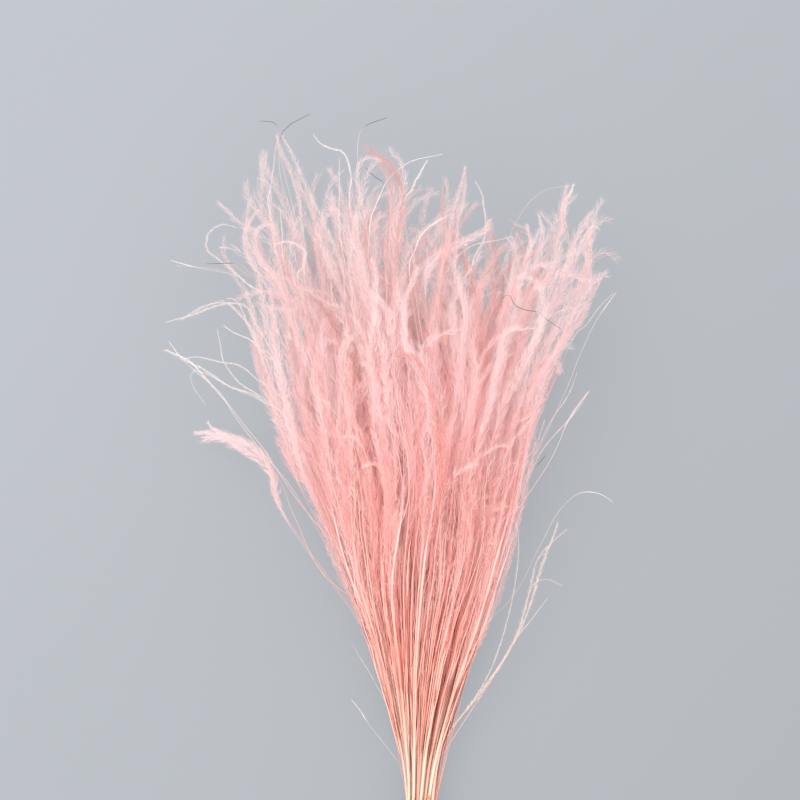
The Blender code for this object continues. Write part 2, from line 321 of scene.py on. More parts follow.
def isClear(path, widths, stem):
    mine = closePoints(path, widths)
    margin = awns["plumeWidth"]
    low, high = mine[:, :3].min(0) - margin, mine[:, :3].max(0) + margin
    beside = (np.array(placed["low"]) < high).all(1) & (np.array(placed["high"]) > low).all(1)
    for index in np.flatnonzero(beside):
        theirs = placed["points"][index]
        near = mine[len(mine) // 3 :] if placed["stems"][index] is stem else mine
        low, high = near[:, :3].min(0) - margin, near[:, :3].max(0) + margin
        close = theirs[((theirs[:, :3] > low) & (theirs[:, :3] < high)).all(1)]
        if not len(close):
            continue
        gap = np.linalg.norm(near[:, None, :3] - close[None, :, :3], axis=2)
        room = (near[:, None, 3] + close[None, :, 3]) / 2
        if (gap - room).min() < awns["clearGap"]:
            return False
    return True


# One try at an awn. A calmer try bends and curls less.
def drawAwn(stem, turn, calm, draw):
    spoke = turn / (awns["perStem"] - 1) + draw.uniform(-awns["spokeSpread"], awns["spokeSpread"])
    angle = 2 * math.pi * spoke + stem["number"]
    cell = awns["plumeCell"] / math.sqrt(straws["count"])
    radius = cell * (awns["innerPlace"] if turn == 0 else draw.uniform(*awns["outerPlaces"]))
    offset = (radius * math.cos(angle), radius * math.sin(angle))
    root = stem["top"] - (awns["firstRoot"] if turn == 0 else draw.uniform(*awns["rootSpread"]))
    curled = calm * draw.gauss(0, awns["tipCurl"])
    drooped = calm * draw.gauss(awns["droopBias"], 1) * awns["tipDroop"]
    hook = calm * draw.choice(awns["hooks"]) * draw.uniform(*awns["hookSizes"]) * awns["tipCurl"]
    sideways = place(stem["across"], stem["up"], bundle["crownAlong"])[0] + curled
    longest = np.interp(sideways, *zip(*bundle["crown"]))
    end = longest - awns["shortestBy"] * draw.random() ** awns["shorterPower"]
    return awnPath(stem, root, offset, end, (curled, drooped), hook)


# Draws every stem with its awns, in the same order as the solids were drawn.
def growStems():
    draw = random.Random(bundle["seed"])
    stems = [drawStem(number, draw) for number in range(straws["count"])]
    for stem in stems:
        remember(stem, stem["straw"], stem["strawWidths"])
    slim = looseAwns["widthShare"] * awnWidths(looseAwns["rings"])
    for number, (root, *passes) in enumerate(looseAwns["routes"]):
        near = min(stems, key=lambda stem: np.linalg.norm(strawPoint(stem, root) - passes[0]))
        path = curveThrough([strawPoint(near, root), *passes], looseAwns["rings"])
        near["awns"].append({"path": path, "loose": True, "number": number})
        remember(near, path, slim)
    widths = awnWidths(awns["rings"])
    for turn in range(awns["perStem"]):
        for stem in stems:
            for attempt in range(awns["tries"]):
                path = drawAwn(stem, turn, awns["calming"] ** attempt, draw)
                if isClear(path, widths, stem):
                    stem["awns"].append({"path": path, "loose": False})
                    remember(stem, path, widths)
                    break
    return stems


stems = growStems()
print("stems drawn,", sum(len(stem["awns"]) for stem in stems), "main awns")


# How a strand's length is laid out on its map, which the finishes read: along it to the right,
# and its own tone upwards. Tones run from deep coral through pink to cream and near white.
mapping = {
    "length": 0.60,
    "toneBand": 0.014,
    "edges": (0.004, 0.996),
}


def newPiece():
    return {"points": [], "faces": [], "maps": [], "finishes": [], "count": 0}


def addPart(piece, points, faces, maps, finish):
    piece["points"].append(points)
    piece["faces"].append(faces + piece["count"])
    piece["maps"].append(np.clip(maps, *mapping["edges"]))
    piece["finishes"].append(np.full(len(faces), finish))
    piece["count"] += len(points)


def addObject(name, data):
    made = bpy.data.objects.new(name, data)
    bpy.context.scene.collection.objects.link(made)
    return made


# All triangles of a piece as one mesh, set down where the bundle lies.
def pieceObject(name, piece, finishes):
    points = np.concatenate(piece["points"]) + bundleShift
    points[:, 2] = np.maximum(points[:, 2], bundle["lowestPoint"])
    faces = np.concatenate(piece["faces"])
    maps = np.concatenate(piece["maps"])
    mesh = bpy.data.meshes.new(name)
    mesh.vertices.add(len(points))
    mesh.vertices.foreach_set("co", points.astype(np.float32).ravel())
    mesh.loops.add(faces.size)
    mesh.loops.foreach_set("vertex_index", faces.astype(np.int32).ravel())
    mesh.polygons.add(len(faces))
    mesh.polygons.foreach_set("loop_start", np.arange(0, faces.size, 3, dtype=np.int32))
    kinds = np.concatenate(piece["finishes"]).astype(np.int32)
    mesh.polygons.foreach_set("material_index", kinds)
    mesh.polygons.foreach_set("use_smooth", np.ones(len(faces), dtype=bool))
    layer = mesh.uv_layers.new(name="OFBake")
    layer.uv.foreach_set("vector", maps[faces.ravel()].astype(np.float32).ravel())
    for finish in finishes:
        mesh.materials.append(finish)
    mesh.update(calc_edges=True)
    return addObject(name, mesh)


def unit(vectors):
    return vectors / (np.linalg.norm(vectors, axis=-1, keepdims=True) + 1e-12)


# The directions ahead, to the side and out of the face at each point of a path.
def strandAxes(path, up=(0, 0, 1)):
    ahead = unit(np.gradient(path, axis=0))
    side = unit(np.cross(ahead, up) + (1e-7, 0, 0))
    return ahead, side, np.cross(side, ahead)


def strandMap(path):
    return (path[0, 1] + lengthAlong(path)) / mapping["length"]


# The angles of a ring's corners, turned a little so that none points straight to the side.
def ringAngles(sides):
    return 0.3 + 2 * math.pi * np.arange(sides) / sides


def ringMaps(along, tone, angle):
    tones = np.reshape(tone, (-1, 1)) + mapping["toneBand"] * np.cos(angle)
    return np.stack(np.broadcast_arrays(along[:, None], tones), axis=-1).reshape(-1, 2)


# The triangles between rings, which face outwards, or inwards for a hollow.
def ringFaces(rings, sides, inwards=False):
    corner = np.arange(sides)
    row = np.arange(rings - 1)[:, None] * sides
    low = (row + corner).ravel()
    after = (row + (corner + 1) % sides).ravel()
    if inwards:
        low, after = after, low
    first = np.stack([low, after, after + sides], axis=1)
    second = np.stack([low, after + sides, low + sides], axis=1)
    return np.vstack([first, second])


# A round or flattened tube along a path. Its tone is one number, or one for each point.
def addTube(piece, path, radii, sides, tone, finish, flat=1.0, ribs=0.0, up=(0, 0, 1), mapAlong=None):
    side, face = strandAxes(path, up)[1:]
    angle = ringAngles(sides)
    ring = np.asarray(radii)[:, None] * (1 + ribs * (np.arange(sides) % 2))
    across = (ring * np.cos(angle))[..., None] * side[:, None]
    outward = (ring * flat * np.sin(angle))[..., None] * face[:, None]
    points = (path[:, None] + across + outward).reshape(-1, 3)
    along = strandMap(path) if mapAlong is None else mapAlong
    addPart(piece, points, ringFaces(len(path), sides), ringMaps(along, tone, angle), finish)


# What all hairs share: how much their lean, length and width vary, as factors, how far along they
# bend, how much they are twisted, and how far round the strand and how far in tone they spread.
hairShape = {
    "leans": (0.3, 1.5),
    "lengths": (0.35, 1.15),
    "widths": (0.7, 1.3),
    "bendAt": 0.45,
    "twist": 0.45,
    "fanLimit": 150,
    "toneSpread": 0.012,
}


# Fine hairs to both sides of a strand. Each leans out from its root, is widest where it turns back
# to lie along the strand, and ends in a point.
def addHairs(piece, path, count, reach, tone, finish, dice, look, mapAlong=None, up=(0, 0, 1)):
    run = lengthAlong(path)
    share = ((np.arange(count) + dice.random(count)) / count) ** look["crowding"]
    share = look["start"] + (1 - look["start"]) * share
    at = share * run[-1]

    def along(values):
        return np.stack([np.interp(at, run, column) for column in values.T], axis=1)

    ahead, side, face = (unit(along(values)) for values in strandAxes(path, up))
    root = along(path)
    hand = np.where(np.arange(count) % 2, 1.0, -1.0)[:, None]
    limit = hairShape["fanLimit"]
    fan = np.radians(np.clip(dice.normal(0, look["fan"], count), -limit, limit))[:, None]
    out = hand * side * np.cos(fan) + face * np.sin(fan)
    lean = np.interp(share, (0, 1), look["lean"]) * dice.uniform(*hairShape["leans"], count)
    lean = np.radians(lean)[:, None]
    back = lean * look["bendBack"]
    rising = smoothStep(share, look["start"] - 0.01, look["full"])
    falling = 1 - (1 - look["tipShare"]) * smoothStep(share, look["fade"], 1.0)
    length = (reach * rising * falling * dice.uniform(*hairShape["lengths"], count))[:, None]
    first = ahead * np.cos(lean) + out * np.sin(lean)
    second = unit(ahead * np.cos(back) + out * np.sin(back) + dice.normal(0, look["stray"], (count, 3)))
    middle = root + first * length * hairShape["bendAt"]
    tip = middle + second * length * (1 - hairShape["bendAt"])
    upwards = np.array([0, 0, 1.0]) + dice.normal(0, hairShape["twist"], (count, 3))
    flatways = unit(np.cross(first, upwards))
    half = flatways * (look["width"] / 2 * dice.uniform(*hairShape["widths"], count))[:, None]
    points = np.stack([root, middle + half, middle - half, tip], axis=1).reshape(-1, 3)
    u = np.interp(at, run, strandMap(path) if mapAlong is None else mapAlong)
    v = np.interp(at, run, np.broadcast_to(tone, run.shape))
    v += dice.normal(0, hairShape["toneSpread"], count)
    # The corners lie a little apart on the map, so that no triangle has an empty place there.
    uMiddle = u + hairShape["bendAt"] * length[:, 0] / mapping["length"] + 0.001
    uTip = u + length[:, 0] / mapping["length"] + 0.002
    corners = ((u, v), (uMiddle, v + 0.004), (uMiddle, v - 0.004), (uTip, v + 0.001))
    maps = np.stack([np.stack(pair, axis=1) for pair in corners], axis=1).reshape(-1, 2)
    pattern = np.array([(0, 1, 2), (2, 1, 3)])
    faces = (np.arange(count)[:, None, None] * 4 + pattern).reshape(-1, 3)
    addPart(piece, points, faces, maps, finish)


toneGroups = {
    "ranges": ((0.08, 0.12), (0.12, 0.30), (0.30, 0.70), (0.70, 0.88), (0.88, 0.985)),
    "shares": (0.01, 0.13, 0.66, 0.16, 0.04),
    "hidden": 0.50,
    # Painted shade: how much deeper coral the strands near the bundle's middle are painted.
    "paintedShadeShift": 0.20,
    "deepest": 0.10,
}


# A strand that is white or dark outside the head is pink inside it.
def shadedTones(tone, count, low, high):
    shown = smoothStep(np.linspace(0, 1, count), low, high)
    return toneGroups["hidden"] + (tone - toneGroups["hidden"]) * shown


# Most strands are pink, fewer are coral or pale, and some are cream or near white. Those near the
# bundle's middle are painted deeper coral, as painted shade.
def drawTone(dice, stem):
    low, high = toneGroups["ranges"][dice.choice(len(toneGroups["ranges"]), p=toneGroups["shares"])]
    tone = dice.uniform(low, high)
    # Painted shade: the nearer the bundle's middle, the deeper coral the tone.
    inner = 1 - math.hypot(stem["across"], stem["up"])
    return max(tone - toneGroups["paintedShadeShift"] * inner, min(tone, toneGroups["deepest"]))


waver = {
    "lengths": (0.055, 0.024),
    "unevenness": (0.7, 1.4),
    "grownOver": (0.05, 0.6),
    "upwards": 0.6,
}


# A slight unevenness, which grows from the root.
def wavered(path, dice, size):
    run = lengthAlong(path)
    grown = smoothStep(run / run[-1], *waver["grownOver"])
    path = path.copy()
    for axis, share in ((0, 1.0), (2, waver["upwards"])):
        for usual in waver["lengths"]:
            length = usual * dice.uniform(*waver["unevenness"])
            height = size * share * dice.normal() * (usual / waver["lengths"][0])
            path[:, axis] += height * grown * np.sin(2 * math.pi * run / length + dice.uniform(0, 7))
    return path


# Winds up the end of a path, from the given share of it on, and more tightly towards its tip.
def curledTip(path, start, turn, tilt, tightening=1.4):
    steps = np.diff(path, axis=0)
    share = np.clip((lengthAlong(path)[1:] / lengthAlong(path)[-1] - start) / (1 - start), 0, 1)
    angle = (turn * share**tightening)[:, None]
    axis = unit(np.array([tilt, 0.0, 1.0]))
    turned = steps * np.cos(angle) + np.cross(axis, steps) * np.sin(angle)
    turned += axis * (steps @ axis)[:, None] * (1 - np.cos(angle))
    path = np.vstack([path[:1], path[0] + np.cumsum(turned, axis=0)])
    path[:, 2] = np.maximum(path[:, 2], bundle["lowestTip"])
    return path


finishNumbers = {"straw": 0, "awn": 1, "hair": 2, "bristle": 3}

strawLook = {
    "sides": 10,
    "rings": 32,
    "ribs": -0.045,
    "topWidth": 0.0010,
    "nodes": ((0.020, 0.070), (0.125, 0.200)),
    "nodeSwelling": 0.24,
    "nodeLength": 0.0011,
    "sheathThickness": 0.07,
    "sheathLength": 0.05,
    "narrowing": 0.7,
    "narrowsOver": 0.02,
    "hollow": 0.62,
    "hollowDepth": 0.006,
    "tones": (0.06, 0.78),
}


# A straw: ribbed, with two swollen nodes, the sheath that starts at each, and a hollow cut end.
def addStraw(piece, stem, tone, dice):
    start = np.linspace(0, 1, strawLook["rings"])
    along = stem["foot"] + (stem["top"] - stem["foot"]) * start
    nodes = [dice.uniform(*spread) for spread in strawLook["nodes"]]
    nodeRings = [node + np.arange(-2, 3) * strawLook["nodeLength"] for node in nodes]
    along = np.sort(np.concatenate([along, *nodeRings]))
    path = place(stem["across"], stem["up"], along)
    radii = np.interp(along, (0, stem["top"]), (straws["width"] / 2, strawLook["topWidth"] / 2))
    for node in nodes:
        away = (along - node) / strawLook["nodeLength"]
        radii *= 1 + strawLook["nodeSwelling"] * np.exp(-(away**2))
        sheath = (along > node) * np.exp(-(along - node) / strawLook["sheathLength"])
        radii *= 1 + strawLook["sheathThickness"] * sheath
    atTop = smoothStep(along, stem["top"] - strawLook["narrowsOver"], stem["top"])
    radii *= 1 - strawLook["narrowing"] * atTop
    addTube(piece, path, radii, strawLook["sides"], tone, finishNumbers["straw"], ribs=strawLook["ribs"])
    # The rim, the upper and the lower edge of the wall inside, and the middle of the floor.
    inside = np.array([0.0, 0.0, strawLook["hollowDepth"], strawLook["hollowDepth"]])
    mouth = path[0] + unit(path[1] - path[0]) * inside[:, None]
    wall = radii[0] * np.array([1.0, strawLook["hollow"], strawLook["hollow"] * 0.9, 0.02])
    mouthMap = path[0, 1] / mapping["length"] + np.array([0.0, 0.004, 0.02, 0.025])
    addRings(piece, mouth, wall, path, tone, mouthMap)


# Rings round the cut end's middle, joined into its rim, its inner wall and the floor inside.
def addRings(piece, middles, radii, path, tone, mapAlong):
    side, face = (values[0] for values in strandAxes(path)[1:])
    angle = ringAngles(strawLook["sides"])
    shape = np.cos(angle)[:, None] * side + np.sin(angle)[:, None] * face
    points = (middles[:, None] + radii[:, None, None] * shape).reshape(-1, 3)
    faces = ringFaces(len(middles), len(angle), inwards=True)
    addPart(piece, points, faces, ringMaps(mapAlong, tone, angle), finishNumbers["straw"])


hairLook = {
    "start": 0.10,
    "full": 0.40,
    "fade": 0.80,
    "tipShare": 0.65,
    "crowding": 0.68,
    "lean": (55, 40),
    "bendBack": 0.18,
    "stray": 0.07,
    "fan": 48,
    "width": 0.00018,
}

mainAwnLook = {
    "points": 36,
    "rootRadius": 0.00028,
    "tipRadius": 0.00005,
    "waver": 0.0006,
    "hairs": 640,
    "hairReach": (0.006, 0.011),
    "palest": 0.82,
    "paleTip": 0.62,
    "paleFrom": (0.42, 0.47),
    "beyondEdge": 0.48,
    "tipTurn": 0.9,
    "turnLimit": 1.3,
    "tilt": 0.5,
    "curledFrom": (0.80, 0.93),
}

tipLook = {
    "thinRadius": 0.00007,
    "tipRadius": 0.00021,
    "stiffensOver": 0.002,
    "taper": 0.6,
    "darkFrom": 0.76,
    "shortest": 0.001,
}


def awnRadii(look, count):
    share = np.linspace(0, 1, count) ** 0.8  # thins a little faster at first
    return look["rootRadius"] + (look["tipRadius"] - look["rootRadius"]) * share


# A strand that is thin and pale up to its stiffer tip of this length, which is dark on a bristle.
def addTipped(piece, path, radii, tone, kind, tipLength):
    run = lengthAlong(path)
    tipFrom = run[-1] - max(tipLength, tipLook["shortest"])
    stiff = smoothStep(run, tipFrom - tipLook["stiffensOver"], tipFrom + tipLook["stiffensOver"])
    tapered = 1 - tipLook["taper"] * smoothStep(run, tipFrom, run[-1])
    thin = np.minimum(radii, tipLook["thinRadius"])
    radii = thin + (tipLook["tipRadius"] - thin) * stiff * tapered
    if kind == "whiteTip":
        addTube(piece, path, radii, 3, tone, finishNumbers["awn"])
        return
    mapAlong = np.interp(run, (0, tipFrom, run[-1]), (0.03, tipLook["darkFrom"], 0.97))
    addTube(piece, path, radii, 3, tone, finishNumbers["bristle"], mapAlong=mapAlong)


# A strand of its kind: with hairs that reach this far to a side, or bare with a tip this long.
def addStrand(piece, path, radii, tone, kind, reach, hairs, dice, look):
    if kind != "awn":
        addTipped(piece, path, radii, tone, kind, reach)
        return
    addTube(piece, path, radii, 3, tone, finishNumbers["awn"])
    addHairs(piece, path, hairs, reach, tone, finishNumbers["hair"], dice, look)


# The head's outline as seen from above: how far along, and its left and right edge there.
headEdges = (
    (0.200, -0.036, 0.034), (0.244, -0.053, 0.050), (0.282, -0.068, 0.056), (0.320, -0.082, 0.061),
    (0.350, -0.091, 0.070), (0.378, -0.098, 0.083), (0.406, -0.106, 0.093), (0.424, -0.116, 0.097),
    (0.450, -0.104, 0.094), (0.475, -0.091, 0.086), (0.500, -0.087, 0.080),
)
headTop = 0.122


# Draws in the parts of a path that leave the head's outline or its top, to this share of their way
# out.
def keptIn(path, share):
    alongs, lefts, rights = zip(*headEdges)
    left, right = (
        asSeen(np.column_stack([np.interp(path[:, 1], alongs, edge), path[:, 1]]), path[:, 2])[:, 0]
        for edge in (lefts, rights)
    )
    inside = np.clip(path[:, 0], left, right)
    drawnIn = inside + (path[:, 0] - inside) * share
    path[:, 0] = np.where(path[:, 1] > alongs[0], drawnIn, path[:, 0])
    path[:, 2] -= (1 - share) * np.maximum(path[:, 2] - headTop, 0)
    return path


def drawTurn(look, dice):
    return look["tipTurn"] * np.clip(dice.normal(), -look["turnLimit"], look["turnLimit"])


# The awns that the solids have too: a fine core with long hairs to both sides. Those in the head
# lead the thin ones.
def addMainAwns(piece, stem, dice, leaders):
    for awn in stem["awns"]:
        path = curveThrough(awn["path"], mainAwnLook["points"])
        path = wavered(path, dice, mainAwnLook["waver"])
        path[0] = awn["path"][0]
        turn = drawTurn(mainAwnLook, dice)
        tone = min(drawTone(dice, stem), mainAwnLook["palest"])
        reach = dice.uniform(*mainAwnLook["hairReach"])
        kind, look, hairs = "awn", hairLook, mainAwnLook["hairs"]
        if awn["loose"]:
            turn *= looseAwns["turnShare"]
            kind, tone, reach, hairStart = looseAwns["looks"][awn["number"]]
            tone = shadedTones(tone, len(path), *looseAwns["shownOver"])
            look = {**hairLook, "start": hairStart, "full": (1 + hairStart) / 2}
            hairs = round(hairs * looseAwns["hairShare"])
            if awn["number"] >= looseAwns["crownFrom"]:
                drawnIn = smoothStep(path[:, 1], *looseAwns["drawnInOver"])[:, None]
                path[:, :2] += drawnIn * (asSeen(path[:, :2], path[:, 2]) - path[:, :2])
        start = dice.uniform(*mainAwnLook["curledFrom"])
        path = curledTip(path, start, turn, dice.normal() * mainAwnLook["tilt"])
        if not awn["loose"]:
            path = keptIn(path, mainAwnLook["beyondEdge"])
            paling = smoothStep(path[:, 1], *mainAwnLook["paleFrom"])
            tone = tone + max(mainAwnLook["paleTip"] - tone, 0) * paling
            leaders.append(path)
        radii = awnRadii(mainAwnLook, len(path))
        addStrand(piece, path, radii, tone, kind, reach, hairs, dice, look)


fineAwnLook = {
    "perStem": 12,
    "points": 22,
    "roots": 0.125,
    "swayShare": 0.4,
    "cellReach": (0.1, 1.5),
    "drift": 0.10,
    "outermost": 1.08,
    "unevenEnds": (-0.004, 0.008),
    "shortestBy": 0.165,
    "shorterPower": 1.15,
    "partingLength": 0.030,
    "clumped": 0.60,
    "clumping": (0.35, 0.80),
    "clumpedOver": (0.25, 0.9),
    "rootRadius": 0.00021,
    "tipRadius": 0.00004,
    "waver": 0.0010,
    "curl": 0.014,
    "curlsOver": (0.45, 1.2),
    "hairs": 395,
    "hairReach": (0.0035, 0.0098),
    "leftLean": 0.006,
    "leansOver": (0.2, 0.8),
    "tipTurn": 1.0,
    "turnLimit": 1.4,
    "tilt": 0.6,
    "curledFrom": (0.72, 0.93),
    "beyondEdge": 0.25,
    "crown": (
        (-0.126, 0.424), (-0.108, 0.434), (-0.100, 0.440), (-0.088, 0.444), (-0.075, 0.450),
        (-0.060, 0.449), (-0.045, 0.450), (-0.030, 0.449), (-0.015, 0.444), (-0.004, 0.431),
        (0.008, 0.430), (0.020, 0.436), (0.034, 0.427), (0.045, 0.417), (0.054, 0.433),
        (0.063, 0.440), (0.074, 0.445), (0.086, 0.448), (0.094, 0.438), (0.103, 0.417),
    ),
}


# Draws a thin awn in towards the nearest main one, so that they end together as one plume.
def clumpedTo(leaders, path, t, share):
    def sideAt(strand, along):
        return [np.interp(along, strand[:, 1], strand[:, axis]) for axis in (0, 2)]

    middle = path[len(path) * 2 // 3]
    reaching = [strand for strand in leaders if strand[-1, 1] > middle[1]]
    if not reaching:
        return path
    gaps = []
    for strand in reaching:
        x, z = sideAt(strand, middle[1])
        gaps.append(np.hypot(x - middle[0], z - middle[2]))
    x, z = sideAt(reaching[int(np.argmin(gaps))], path[:, 1])
    drawn = share * smoothStep(t, *fineAwnLook["clumpedOver"])
    path[:, 0] += (x - path[:, 0]) * drawn
    path[:, 2] += (z - path[:, 2]) * drawn
    return path


# Thinner awns between the main ones. Some join them in plumes, and some drift across.
def addFineAwns(piece, stem, dice, leaders):
    look = fineAwnLook
    for _ in range(look["perStem"]):
        root = dice.uniform(look["roots"], stem["top"] - awns["firstRoot"])
        angle = dice.uniform(0, 2 * math.pi)
        radius = awns["plumeCell"] / math.sqrt(straws["count"]) * dice.uniform(*look["cellReach"])
        offset = radius * np.array([math.cos(angle), math.sin(angle)])
        drift = dice.normal(0, look["drift"], 2)
        endPlace = np.array([stem["across"], stem["up"]]) + offset + drift
        endPlace /= max(1.0, np.linalg.norm(endPlace) / look["outermost"])
        tip = place(endPlace[0], endPlace[1], bundle["crownAlong"])
        end = asSeen((0, np.interp(tip[0], *zip(*look["crown"]))), tip[2])[1]
        end += dice.uniform(*look["unevenEnds"])
        end -= look["shortestBy"] * dice.random() ** look["shorterPower"]
        t = 1 - (1 - np.linspace(0, 1, look["points"])) ** 1.4  # closer points towards the tip
        along = root + (end - root) * t
        parted = 1 - np.exp(-(along - root) / look["partingLength"])
        moved = (endPlace - (stem["across"], stem["up"]) - drift)[:, None] * parted + drift[:, None] * t**2
        path = place(stem["across"] + moved[0], stem["up"] + moved[1], along, look["swayShare"])
        path[0] = strawPoint(stem, root)
        path[:, 0] += dice.normal(0, look["curl"]) * smoothStep(t, *look["curlsOver"])
        path[:, 0] -= look["leftLean"] * smoothStep(t, *look["leansOver"])
        if dice.random() < look["clumped"]:
            path = clumpedTo(leaders, path, t, dice.uniform(*look["clumping"]))
        path = wavered(path, dice, look["waver"])
        turn = drawTurn(look, dice)
        path = curledTip(path, dice.uniform(*look["curledFrom"]), turn, dice.normal() * look["tilt"])
        path = keptIn(path, look["beyondEdge"])
        tone = drawTone(dice, stem)
        reach = dice.uniform(*look["hairReach"])
        radii = awnRadii(look, len(path))
        addStrand(piece, path, radii, tone, "awn", reach, look["hairs"], dice, hairLook)


leafLook = {
    "perStem": 10,
    "points": 20,
    "roots": (0.098, 0.165),
    "cellReach": (0.25, 1.1),
    "partingLength": 0.018,
    "length": (0.080, 0.190),
    "radius": (0.00032, 0.00068),
    "thinness": 0.35,
    "swayShare": 0.5,
    "waver": 0.0006,
    # Painted shade: the share of leaves painted dark brown, and their tones.
    "paintedShadeShare": 0.24,
    "paintedShadeTones": (0.0, 0.07),
}


# Thread-like leaves that start at the sheaths and fill the gaps between the straws. Some are painted dark
# brown, as painted shade in those gaps.
def addLeaves(piece, stem, dice):
    for _ in range(leafLook["perStem"]):
        root = dice.uniform(*leafLook["roots"])
        angle = dice.uniform(0, 2 * math.pi)
        radius = dice.uniform(*leafLook["cellReach"]) / math.sqrt(straws["count"])
        offset = radius * np.array([math.cos(angle), math.sin(angle)])
        along = root + dice.uniform(*leafLook["length"]) * np.linspace(0, 1, leafLook["points"])
        parted = 1 - np.exp(-(along - root) / leafLook["partingLength"])
        across, up = stem["across"] + offset[0] * parted, stem["up"] + offset[1] * parted
        path = place(across, up, along, leafLook["swayShare"])
        path[0] = strawPoint(stem, root)
        path = wavered(path, dice, leafLook["waver"])
        share = np.linspace(0, 1, leafLook["points"])
        # Half as wide at the root, and narrowing to a point.
        narrowing = (0.5 + 0.5 * smoothStep(share, 0, 0.2)) * (1.02 - share**2)
        radii = dice.uniform(*leafLook["radius"]) * narrowing
        tone = drawTone(dice, stem)
        # Painted shade: a dark brown leaf stands in for the shade between the straws.
        if dice.random() < leafLook["paintedShadeShare"]:
            tone = dice.uniform(*leafLook["paintedShadeTones"])
        addTube(piece, path, radii, 3, tone, finishNumbers["straw"], flat=leafLook["thinness"])


